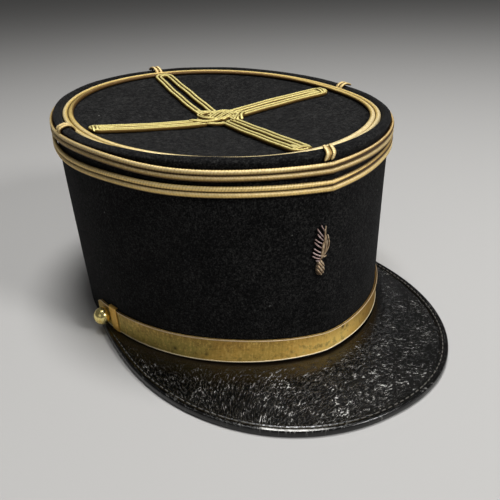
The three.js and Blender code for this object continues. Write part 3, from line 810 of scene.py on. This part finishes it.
knot = {"middle": (1.4, 2.1), "heading": math.pi / 2 - 0.585, "width": 3.2, "thick": 1.7, "step": 0.01}
knotStrands = [  # along the knot, across it and above the felt, from end to end
    {"along": (-15, -11, -6.5, -3, 1.3, 5.8, 9.9, 12), "across": (8.0, 7.4, 6.7, 5.8, 7.2, 6.5, 3.8, 1.6),
     "above": (0.0, 0.4, 0.9, 1.1, 1.5, 1.3, 1.0, 0.3)},
    {"along": (1.5, -3, -7.6, -11, -7.5, -3, 1.5), "across": (2.1, 4.0, 3.8, -1.0, -5.8, -7.2, -5.1),
     "above": (0.6, 1.3, 1.5, 1.2, 1.5, 1.7, 0.6)},
    {"along": (-15, -12, -7, -2.5, 1.9, 6.3, 10), "across": (-10.4, -12.0, -12.3, -10.0, -6.6, -3.4, -0.3),
     "above": (0.6, 1.0, 1.0, 1.1, 1.6, 1.8, 0.8), "width": 3.8},
    {"along": (-7.5, -4.8, -1.8, 0.8, 4), "across": (-5.1, -6.6, 0.1, 4.8, 2.8),
     "above": (0.4, 1.4, 2.1, 1.6, 0.6)},
    {"along": (-4.5, -1.5, 1.7, 4.8, 8), "across": (-3.9, -8.0, -2.1, 3.6, 1.4),
     "above": (0.4, 1.3, 2.2, 1.7, 0.7)},
    {"along": (-1, 2.4, 5.6, 8.6, 10.6), "across": (-0.9, -7.0, -2.4, 2.6, -1.5),
     "above": (0.5, 1.2, 2.1, 1.6, 0.6)},
    {"along": (-6, -2.6, 0.8, 4.2, 7.8, 10), "across": (0.3, 3.3, -3.9, 1.6, -5.6, -7.0),
     "above": (0.9, 1.0, 1.3, 1.1, 1.5, 0.6)},
    {"along": (8.6, 9.0, 8.0), "across": (3.3, -2.1, -8.2), "above": (0.8, 1.7, 0.7)},
    {"along": (-5.5, -0.8, 3.9), "across": (-13.4, -14.4, -12.6), "above": (0.3, 0.5, 0.4)},
    {"along": (14, 12.2, 11.2, 12.0), "across": (7.5, 5.0, 0.0, -4.6),
     "above": (0.3, 1.2, 1.3, 0.2), "width": 4.6},
    {"along": (-12, -5, 3, 11), "across": (1.0, 1.5, 2.0, 1.0), "above": (0, 0, 0, 0), "width": 7},
    {"along": (-12, -5, 3, 11), "across": (-5.5, -5.0, -4.5, -4.0), "above": (0, 0, 0, 0), "width": 7},
]


def smoothLine(stops, travel):  # an even curve through the stops
    stops = np.asarray(stops, float)
    ends = np.concatenate([[2 * stops[0] - stops[1]], stops, [2 * stops[-1] - stops[-2]]])
    place = np.clip(travel, 0, 1) * (len(stops) - 1)
    at = np.minimum(place.astype(int), len(stops) - 2)
    f = place - at
    a, b, c, d = (ends[at + step] for step in range(4))
    bend = (2 * a - 5 * b + 4 * c - d) * f ** 2 + (3 * b - a - 3 * c + d) * f ** 3
    return 0.5 * (2 * b + (c - a) * f + bend)


def strandOnKnot(strand):
    def surface(travel, across, out):
        along, aside, above = (smoothLine(strand[key], travel) for key in ("along", "across", "above"))
        ahead, sideways = (
            smoothLine(strand[key], travel + knot["step"]) - smoothLine(strand[key], travel - knot["step"])
            for key in ("along", "across"))
        speed = np.hypot(ahead, sideways)
        along = along - across * sideways / speed
        aside = aside + across * ahead / speed
        return onDish(knot["heading"], along, aside, above + out, knot["middle"])
    return surface


knotCords = []
for strand in knotStrands:
    knotCords += doubleCord(strandOnKnot(strand), strand.get("width", knot["width"]), knot["thick"])
makePiece("knot_plait", knotCords, knotGold, ["knot_centre"])
print("knot done")


# Chin strap, its keepers and buttons

strap = {
    "reach": 1.5, "slope": -0.015, "width": 13, "thick": 1.0, "steps": 620, "faceRows": 26,
    "back": [(0.02, 0.05), (0.98, 0.05)], "faceInset": 0.03, "endRound": 0.07, "endNarrow": 0.8,
    "edgeCord": (0.4, 0.45), "edgeOut": 0.85, "edgePitch": 0.8, "waver": 0.12, "longestWave": 18, "seed": 5,
    "laceRun": 92, "stainRun": 95,  # millimetres along the lace for each radian
}
strapLine = {  # heights of the strap's two edges along the crown
    "angle": (-1.5, -0.9, -0.55, -0.2, 0.1, 0.35, 0.7, 1.5),
    "foot": (3.0, 3.1, 3.6, 3.9, 4.3, 3.9, 3.5, 3.5),
    "top": (16.0, 16.4, 16.8, 15.4, 14.2, 15.0, 15.6, 16.0),
    "spread": 0.12,
}
strapStains = [  # angle, height, size and depth of the dark and green spots on the lace
    (-0.87, 7.4, 1.1, 0.9), (-0.69, 7.2, 0.9, 0.75), (-0.66, 12.0, 0.8, 0.6), (-0.55, 10.2, 1.3, 0.3),
    (-0.38, 10.8, 0.8, 0.4), (-0.22, 8.2, 0.9, 0.35), (0.0, 7.4, 1.0, 0.5), (0.13, 13.2, 1.4, 0.95),
    (0.17, 12.2, 1.0, 0.8), (-1.08, 6.0, 0.8, 0.5),
]


def strapHeight(angle, across):  # across runs from 0 at the foot to 1 at the top edge
    foot, top = (easedLine(strapLine, edge, angle, None) for edge in ("foot", "top"))
    return lerp(foot, top, across)


def strapSurface(travel, across, out):
    angle = lerp(-strap["reach"], strap["reach"], travel)
    intoEnd = np.clip((np.abs(angle) - strap["reach"]) / strap["endRound"] + 1, 0, 1)
    narrow = np.sqrt(1 - strap["endNarrow"] * intoEnd ** 2)
    return crownPoint(angle, -fitGap - out, strapHeight(angle, 0.5 + (across - 0.5) * narrow), strap["slope"])


def stainMark(angle, height):
    total = np.zeros_like(angle)
    for atAngle, atHeight, size, depth in strapStains:
        away = np.hypot((angle - atAngle) * strap["stainRun"], height - atHeight) / size
        total = np.maximum(total, depth * np.exp(-away ** 2))
    return total


def strapBand():
    travel = np.linspace(0, 1, strap["steps"] + 1)
    face = np.linspace(1 - strap["faceInset"], strap["faceInset"], strap["faceRows"])
    section = strap["back"] + [(share, strap["thick"]) for share in face]
    way, across, out = sweepGrid(travel, section)
    angle = lerp(-strap["reach"], strap["reach"], way)
    wave = ripple(angle * 3, across * 14, strap["seed"], longest=strap["longestWave"])
    wave = strap["waver"] * wave * (out == strap["thick"])
    height = strapHeight(angle, across)
    points = strapSurface(way, across, out + wave * np.sin(math.pi * across))
    return patch(points, capEnds=True, along=angle * strap["laceRun"], across=height,
                 stain=stainMark(angle, height))


def strapEdgeCord(across):
    inward = strap["edgeCord"][0] / strap["width"] * (1 if across < 0.5 else -1)

    def surface(travel, aside, out):
        return strapSurface(travel, across + inward + aside / strap["width"], out)
    return twistedCord(surface, 0.0, strap["edgeOut"], strap["edgeCord"], pitch=strap["edgePitch"], ring=8)


makePiece("strap_lace", [strapBand()], lace, ["chin_strap"])
makePiece("strap_cord_foot", [strapEdgeCord(0.0)], footGold, [])
makePiece("strap_cord_top", [strapEdgeCord(1.0)], edgeGold, [])

keeper = {"near": 1.278, "far": 1.342, "foot": 3.5, "top": 16.9, "thick": 0.5, "lap": 0.4, "stand": 1.35,
          "front": [(0.25, 0.12), (0.5, 0.16), (0.75, 0.12)], "rows": 24, "laceRun": 9,
          "edgeDrop": 0.25, "edgeShare": 0.06}


def strapKeeper(side):
    foot, top = keeper["foot"] - fitGap, keeper["top"] + fitGap
    lap, stand, thick = keeper["lap"], keeper["stand"], keeper["thick"]
    turned = [(-lap, 0), (-lap, stand), (-lap * 0.4, stand + thick * 0.7), (0.6, stand + thick)]
    front = [(lerp(foot, top, share), stand + thick + swell) for share, swell in keeper["front"]]
    loop = [(foot + reach, out) for reach, out in turned] + front
    loop += [(top - reach, out) for reach, out in turned[::-1]]
    loop += [(top, 0), (top, stand - 0.1), (foot, stand - 0.1), (foot, 0)]
    share = np.linspace(0, 1, keeper["rows"])
    fromEdge = np.minimum(share, 1 - share) / keeper["edgeShare"]
    edge = keeper["edgeDrop"] * np.exp(-fromEdge ** 2)  # turned-in edges
    way, height, out = sweepGrid(share, loop)
    out = np.where(out > stand, out - edge[:, None], out)
    angle = side * lerp(keeper["near"], keeper["far"], way)
    points = crownPoint(angle, -fitGap - out, height, strap["slope"])
    return patch(points, capEnds=True, along=way * keeper["laceRun"], across=height, stain=np.zeros_like(way))


button = {"angle": 1.395, "height": 9.4, "seat": 1.6, "radius": 4.8, "proud": 7.0, "collar": 2.6,
          "collarTall": 0.42, "domeFrom": -0.4, "domeRows": 30, "round": 64}


def strapButton(side):
    seat, beyond = (crownPoint(side * button["angle"], -fitGap - button["seat"] - step, button["height"],
                               strap["slope"]) for step in (0, 1))
    turned = np.array(Vector((0, 0, 1)).rotation_difference(Vector(beyond - seat).normalized()).to_matrix())
    radius, collar = button["radius"], button["collar"]
    rise = np.linspace(button["domeFrom"], math.pi / 2, button["domeRows"])
    dome = np.stack([radius * np.cos(rise), button["proud"] - radius + radius * np.sin(rise)], -1)
    profile = np.concatenate([[(0, 0), (collar, 0), (collar, button["collarTall"])], dome])
    spin, across, out = sweepGrid(evenTurn(button["round"]), profile)
    local = np.stack([across * np.cos(spin), across * np.sin(spin), out], -1)
    return patch(local @ turned.T + seat, loopRows=True, loopCols=False)


for name, side in {"left": 1, "right": -1}.items():
    makePiece("keeper_" + name, [strapKeeper(side)], keeperLace, ["strap_keeper_" + name])
    makePiece("button_" + name, [strapButton(side)], brass, ["strap_button_" + name], weld=0.01)
print("chin strap done")


# Leather peak with its folded edge

peak = {
    "halfWidth": 86.3, "reach": 107.4, "centre": -44, "squareness": 2.18, "tailShare": 0.82, "tailBack": -8,
    "tailTaper": 1.7, "rootAngle": 1.47, "rootTop": 2.6, "edgeTop": 2.6, "dome": 1.6, "rootThick": 2.2,
    "edgeThick": 1.7, "along": 600, "across": 140, "underStep": 20,
}
varnish = {  # its cracks turn and fade from the wearer's right to the left, and a painted reflection of the strap browns it near the root
    "crackDepth": 0.075, "crackCell": 1.7, "lipWidth": 0.22, "seed": 12,
    "turnsOver": (-80, -45), "turnsAt": (-62, -50), "bend": 0.006, "stretch": 0.5,
    "frontward": (-75, -25), "rightFrom": 7, "frontFrom": 11, "rightShare": 0.55,
    "leftward": (5, 60), "leftShare": 0.62, "toEdge": (4.2, 5.5), "patchSizes": (3, 9), "patchSeeds": (12, 4),
    "reflectionOver": (2, 17), "reflectionLeftward": (-10, 60), "reflectionShare": 0.3, "waves": 0.07, "longestWave": 16,
}
binding = {
    "fold": 0.6, "lap": 4.1, "tailLap": 1.9, "steps": 420,
    "pucker": 0.05, "puckerTurn": 420, "puckerReach": 0.7,
    "highlightAt": -0.25, "highlightSpread": 0.16, "patchSize": 6, "patchSeed": 17, "patchShare": 0.45,
    "crestAbove": 2.4, "crestInset": 1.0, "crestSpread": 0.75, "lips": 1.9, "cracked": (0.18, 0.28),
}


def peakOutline(t, inset):
    reached = np.abs(t)
    turn = math.pi / 2 * np.minimum(reached / peak["tailShare"], 1)
    power = 2 / peak["squareness"]
    back = np.clip((reached - peak["tailShare"]) / (1 - peak["tailShare"]), 0, 1)
    x = (peak["halfWidth"] - inset) * np.sin(turn) ** power - peak["tailTaper"] * back ** 2
    front = peak["centre"] - (peak["reach"] - inset) * np.maximum(np.cos(turn), 0) ** power
    y = np.where(back > 0, lerp(peak["centre"], peak["tailBack"], back), front)
    return np.stack([np.sign(t) * x, y], -1)


def peakPoint(t, share, depth):
    root = crownPoint(t * peak["rootAngle"], -fitGap, peak["rootTop"], strap["slope"])
    rim = peakOutline(t, binding["fold"] + fitGap)
    edge = np.concatenate([rim, np.full_like(rim[..., :1], peak["edgeTop"])], -1)
    point = lerp(root, edge, share[..., None])
    swell = np.cos(t * math.pi / 2) ** 2 * (6.75 * share * (1 - share) ** 2)  # 1 at its highest
    thickness = lerp(peak["rootThick"], peak["edgeThick"], share)
    point[..., 2] += peak["dome"] * swell - depth * thickness
    return point


def cloudy(points, size, seed, waves=14):  # drifting strength over a surface, about -1 to 1
    draw = np.random.default_rng(seed)
    total = 0
    for _ in range(waves):
        heading = draw.uniform(0, fullTurn)
        length = size * draw.uniform(1.5, 4)
        reach = points[..., 0] * math.cos(heading) + points[..., 1] * math.sin(heading)
        total = total + np.sin(reach * fullTurn / length + draw.uniform(0, fullTurn))
    return total / math.sqrt(waves)


def crackle(u, v):  # lips along the cracks of old varnish
    gaps = np.empty(u.size)
    for at, (a, b) in enumerate(zip(u.ravel() / varnish["crackCell"], v.ravel() / varnish["crackCell"])):
        nearest = noise.voronoi((a, b, varnish["seed"]))[0]
        gaps[at] = nearest[1] - nearest[0]
    return np.exp(-(gaps / varnish["lipWidth"]) ** 2).reshape(u.shape)


def crackFlow(points):  # cracks run across the front and outwards at the wearer's right
    turned = smoothStep(points[..., 0], *varnish["turnsOver"])
    along = points[..., 0] - varnish["turnsAt"][0]
    across = points[..., 1] + varnish["bend"] * points[..., 0] ** 2 - varnish["turnsAt"][1]
    return along * lerp(1, varnish["stretch"], turned), across * lerp(varnish["stretch"], 1, turned)


def flowMarks(points):
    along, across = crackFlow(points)
    return {"flowAlong": along * toMetres, "flowAcross": across * toMetres}


def peakSheet():
    edge = np.linspace(-1, 1, peak["along"] + 1)
    edge = np.sign(edge) * np.abs(edge) ** 0.9  # closer steps at the tails
    t, share = np.meshgrid(edge, np.linspace(0, 1, peak["across"]), indexing="ij")
    face = peakPoint(t, share, 0)
    x = face[..., 0]
    depth = np.linalg.norm(face - face[:, :1], axis=-1)
    toEdge = np.linalg.norm(face - face[:, -1:], axis=-1)
    frontward = smoothStep(x, *varnish["frontward"])
    shown = smoothStep(depth, 0, lerp(varnish["rightFrom"], varnish["frontFrom"], frontward))
    shown = shown * lerp(varnish["rightShare"], 1, frontward)
    shown = shown * lerp(1, varnish["leftShare"], smoothStep(x, *varnish["leftward"]))
    small, large = (cloudy(face, *pair) for pair in zip(varnish["patchSizes"], varnish["patchSeeds"]))
    lips = crackle(*crackFlow(face)) * smoothStep(small + 0.4 * large, 0.1, 0.9)
    lips = lips * smoothStep(toEdge, *varnish["toEdge"]) * shown
    waves = varnish["waves"] * ripple(t * 2.2, depth, varnish["seed"], longest=varnish["longestWave"])
    face[..., 2] += varnish["crackDepth"] * lips + waves * smoothStep(depth, 1, 12) * smoothStep(toEdge, 4, 9)
    # painted reflection of the strap near the root, fainter towards the wearer's left
    near = 1 - smoothStep(depth, *varnish["reflectionOver"])
    near = near * lerp(1, varnish["reflectionShare"], smoothStep(x, *varnish["reflectionLeftward"]))
    under = peakPoint(t[:, ::-peak["underStep"]], share[:, ::-peak["underStep"]], 1)
    points = np.concatenate([face, under], 1)
    plain = np.zeros(under.shape[:2])
    marks = {"near": near, "lips": lips, "cracked": shown}
    marks = {mark: np.concatenate([values, plain], 1) for mark, values in marks.items()}
    return patch(points, capEnds=True, **marks, **flowMarks(points))


makePiece("peak_sheet", [peakSheet()], leather, ["peak"], weld=0.02)

edgeProfile = [  # inset from the outer edge and height, round the folded strip
    (4.1, 0.0), (0.9, 0.0), (0.45, 0.12), (0.12, 0.5), (0.0, 1.1), (0.0, 2.2), (0.1, 2.8), (0.34, 3.2),
    (0.75, 3.44), (1.3, 3.5), (1.9, 3.46), (2.3, 3.32), (2.6, 3.08), (2.9, 3.1), (3.2, 3.34), (3.55, 3.42),
    (3.9, 3.3), (4.1, 3.0), (4.1, 2.72), (0.8, 2.72), (0.8, 0.72), (4.1, 0.72),
]
stitch = {"inset": 2.75, "height": 3.2, "length": 2.5, "spacing": 3.5, "radius": 0.27, "sink": 0.3,
          "reach": 0.9, "rows": 9, "sides": 8}


def edgeInset(t, inset):
    inTail = smoothStep(np.abs(t), peak["tailShare"], 1)
    return inset * lerp(1, binding["tailLap"] / binding["lap"], inTail * (inset > 1))


def edgeFold():
    way, inset, height = sweepGrid(np.linspace(-1, 1, binding["steps"] + 1), edgeProfile)
    drawnIn = np.abs(inset - stitch["inset"]) < binding["puckerReach"]  # along the stitches
    pucker = binding["pucker"] * np.sin(way * binding["puckerTurn"]) * drawnIn
    line = peakOutline(way, edgeInset(way, inset))
    points = np.concatenate([line, (height + pucker)[..., None]], -1)
    # painted highlight along the front of the fold's crest, with worn patches elsewhere
    wearAndHighlight = np.exp(-((way - binding["highlightAt"]) / binding["highlightSpread"]) ** 2)
    patches = smoothStep(cloudy(points, binding["patchSize"], binding["patchSeed"]), 0.4, 1.2)
    worn = np.minimum(wearAndHighlight + binding["patchShare"] * patches, 1) * (height > binding["crestAbove"])
    worn = worn * np.exp(-((inset - binding["crestInset"]) / binding["crestSpread"]) ** 2)
    evenly, more = binding["cracked"]
    return patch(points, capEnds=True, near=np.zeros_like(way), lips=binding["lips"] * worn,
                 cracked=evenly + more * worn, **flowMarks(points))


def edgeStitches():
    t = np.linspace(-stitch["reach"], stitch["reach"], 4000)
    line = peakOutline(t, edgeInset(t, np.full_like(t, stitch["inset"])))
    walked = np.concatenate([[0], np.cumsum(np.linalg.norm(np.diff(line, axis=0), axis=1))])
    share = np.linspace(0, 1, stitch["rows"])
    turn = evenTurn(stitch["sides"])
    radius = stitch["radius"] * np.sqrt(np.clip(1 - (2 * share - 1) ** 8, 0.01, 1))
    arch = stitch["height"] - stitch["sink"] * (2 * share - 1) ** 4
    made = []
    for start in np.arange(1, walked[-1] - stitch["length"], stitch["spacing"]):
        x, y = (np.interp(start + share * stitch["length"], walked, line[:, axis]) for axis in (0, 1))
        ahead = np.array([x[-1] - x[0], y[-1] - y[0]])
        aside = np.array([-ahead[1], ahead[0]]) / np.linalg.norm(ahead)
        points = np.stack([
            x[:, None] + aside[0] * np.outer(radius, np.cos(turn)),
            y[:, None] + aside[1] * np.outer(radius, np.cos(turn)),
            arch[:, None] + np.outer(radius, np.sin(turn))], -1)
        made.append(patch(points, capEnds=True))
    return made


makePiece("peak_edge", [edgeFold()], leather, ["peak_binding"], sharp=70)
makePiece("peak_stitches", edgeStitches(), blackThread, [])
print("peak done")


# Badge of metal thread: a flame over a ball

badge = {
    "angle": -0.05, "foot": 48.2, "ballWidth": 5.5, "ballTall": 8.6, "ballOut": 1.7, "ballTaper": 0.28,
    "ballSheen": 0.25, "bodySheen": 0.2, "wrap": 1.5, "wrapDepth": 0.5, "wire": 0.6, "ribDepth": 0.22,
    "arch": 0.35, "wrapSlant": (0.75, 0.66), "ballRows": 90, "ballRings": 46,
    "strandLift": 0.42, "strandHalf": (0.4, 0.45), "strandSteps": 6,
}
flameStrands = [  # start and end across and above the ball's foot, sideways bulge and thickness
    ((2.6, 21.4), (0.2, 25.2), 0.2, 1.0), ((2.2, 18.7), (-2.0, 23.8), 0.3, 1.05),
    ((2.0, 17.2), (-1.9, 21.2), 0.3, 1.05), ((1.5, 15.8), (-3.3, 19.0), 0.3, 1.0),
    ((1.5, 13.6), (-3.6, 17.4), 0.4, 1.1), ((1.2, 11.4), (-3.9, 14.4), 0.3, 1.05),
    ((1.0, 10.0), (-4.6, 12.6), 0.4, 1.15), ((0.4, 8.6), (-4.9, 10.8), 0.3, 1.05),
    ((0.6, 7.7), (-2.8, 8.1), 0.1, 1.0), ((0.2, 8.4), (2.4, 23.2), -0.5, 1.5),
    ((0.6, 9.2), (2.6, 20.4), -1.5, 1.45), ((1.4, 10.0), (4.0, 20.2), -1.9, 1.25),
    ((1.0, 9.6), (3.2, 17.6), -0.7, 1.5), ((0.2, 9.0), (1.6, 17.0), 0.3, 1.5),
    ((0.9, 9.2), (3.6, 9.9), 0.2, 1.25), ((2.6, 21.4), (2.9, 24.6), 0.1, 0.95),
]


def badgePoint(across, height, out):
    middle = crownPoint(badge["angle"], 0, badge["foot"])
    return crownPoint(badge["angle"] + across / -middle[1], -fitGap - out, badge["foot"] + height)


def flameSurface(start, end, bulge):
    run = np.subtract(end, start)
    side = np.array([-run[1], run[0]]) / np.linalg.norm(run)

    def surface(travel, across, out):
        bow = bulge * np.sin(math.pi * travel) + across
        x = start[0] + run[0] * travel + side[0] * bow
        y = start[1] + run[1] * travel + side[1] * bow
        return badgePoint(x, y, out + badge["arch"] * np.sin(math.pi * np.clip(travel, 0, 1)))
    return surface


def flameStrand(start, end, bulge, thick):
    half = [thick * share for share in badge["strandHalf"]]
    strand = twistedCord(flameSurface(start, end, bulge), 0.0, thick * badge["strandLift"], half, lay=1,
                         pitch=badge["wire"], ribDepth=badge["ribDepth"], perRib=badge["strandSteps"])
    if end[0] > start[0]:  # the flame's body is yellower than its tongues
        fadeMark(strand, "sheen", badge["bodySheen"])
    return strand


def threadBall():  # pear-shaped, wound with slanting wire
    rows, rings = badge["ballRows"], badge["ballRings"]
    spin, rise = np.meshgrid(evenTurn(rows), np.linspace(0, math.pi / 2, rings), indexing="ij")
    y = np.sin(spin) * np.cos(rise)
    pear = 1 - badge["ballTaper"] * (y * 0.5 + 0.5) ** 1.5
    x = np.cos(spin) * np.cos(rise) * pear
    slantX, slantY = badge["wrapSlant"]
    slant = slantX * x * badge["ballWidth"] / 2 + slantY * y * badge["ballTall"] / 2
    ridge = np.abs(np.sin(slant / badge["wrap"] * math.pi))
    out = np.sin(rise) * badge["ballOut"] * (0.75 + 0.25 * pear)
    out = out + badge["wrapDepth"] * ridge * smoothStep(rise, 0.05, 0.5)
    points = badgePoint(x * badge["ballWidth"] / 2, badge["ballTall"] / 2 * (1 + y), out)
    blank = np.zeros((rows, 1))
    points = np.concatenate([points, badgePoint(blank, blank + badge["ballTall"] / 2, blank)], 1)
    whole = np.ones((rows, rings + 1))
    return patch(points, loopRows=True, loopCols=False, ridge=np.concatenate([ridge, blank], 1),
                 proud=whole, sheen=whole * badge["ballSheen"])


strands = [flameStrand(*strand) for strand in flameStrands]
makePiece("flame_badge", [threadBall()] + strands, bullion, ["badge"], weld=0.005)
print("badge done")


# Floor, light and camera

studio = {"floor": (0.41, 0.403, 0.392), "floorHalf": 4, "world": 0.09, "aim": (0, 0, 0.06)}  # metres here
lamps = {
    "overhead": {"place": (0.05, -0.02, 1.2), "size": 0.45, "watts": 14},
    "front_right": {"place": (0.5, -1.15, 0.85), "size": 0.35, "watts": 15},
    "left_fill": {"place": (-1.2, -0.7, 0.8), "size": 0.7, "watts": 0.7},
}
view = {"azimuth": -0.518, "elevation": 0.461, "roll": -0.032, "distance": 379.626,
        "aim": (17.22, 0, 13.163), "lens": 43.2}


def paleFloor():
    far = studio["floorHalf"]
    mesh = bpy.data.meshes.new("floor")
    mesh.from_pydata([(-far, -far, 0), (far, -far, 0), (far, far, 0), (-far, far, 0)], [], [(0, 1, 2, 3)])
    look = Finish("pale_floor", studio)
    mesh.materials.append(look.done(Base_Color="floor", Roughness=0.85, Specular_IOR_Level=0.2))
    floor = addObject("floor", mesh)


def softLight(name, place, size, watts):
    light = bpy.data.lights.new(name, "AREA")
    light.shape = "DISK"
    light.size = size
    light.energy = watts
    lamp = addObject(name, light)
    lamp.location = place
    lamp.rotation_euler = (Vector(studio["aim"]) - Vector(place)).to_track_quat("-Z", "Y").to_euler()


def dimWorld():
    world = bpy.data.worlds.new("studio")
    world.use_nodes = True
    background = world.node_tree.nodes["Background"]
    background.inputs["Color"].default_value = (1, 1, 1, 1)
    background.inputs["Strength"].default_value = studio["world"]
    bpy.context.scene.world = world


def photoCamera():
    azimuth, elevation, roll = view["azimuth"], view["elevation"], view["roll"]
    level = Vector((math.cos(azimuth), math.sin(azimuth), 0))
    outward = Vector((math.sin(azimuth), -math.cos(azimuth), 0))
    back = outward * math.cos(elevation) + Vector((0, 0, math.sin(elevation)))
    right = level * math.cos(roll) + back.cross(level) * math.sin(roll)
    data = bpy.data.cameras.new("camera")
    data.lens = view["lens"]
    data.clip_start = 0.01
    camera = addObject("camera", data)
    spot = (Vector(view["aim"]) + Vector((0, hatMiddle, 0)) + back * view["distance"]) * toMetres
    turned = Matrix((right, back.cross(right), back)).transposed().to_4x4()
    camera.matrix_world = Matrix.Translation(spot) @ turned
    bpy.context.scene.camera = camera


paleFloor()
for name, lamp in lamps.items():
    softLight(name, **lamp)
dimWorld()
photoCamera()
bpy.context.scene.view_settings.view_transform = "Standard"
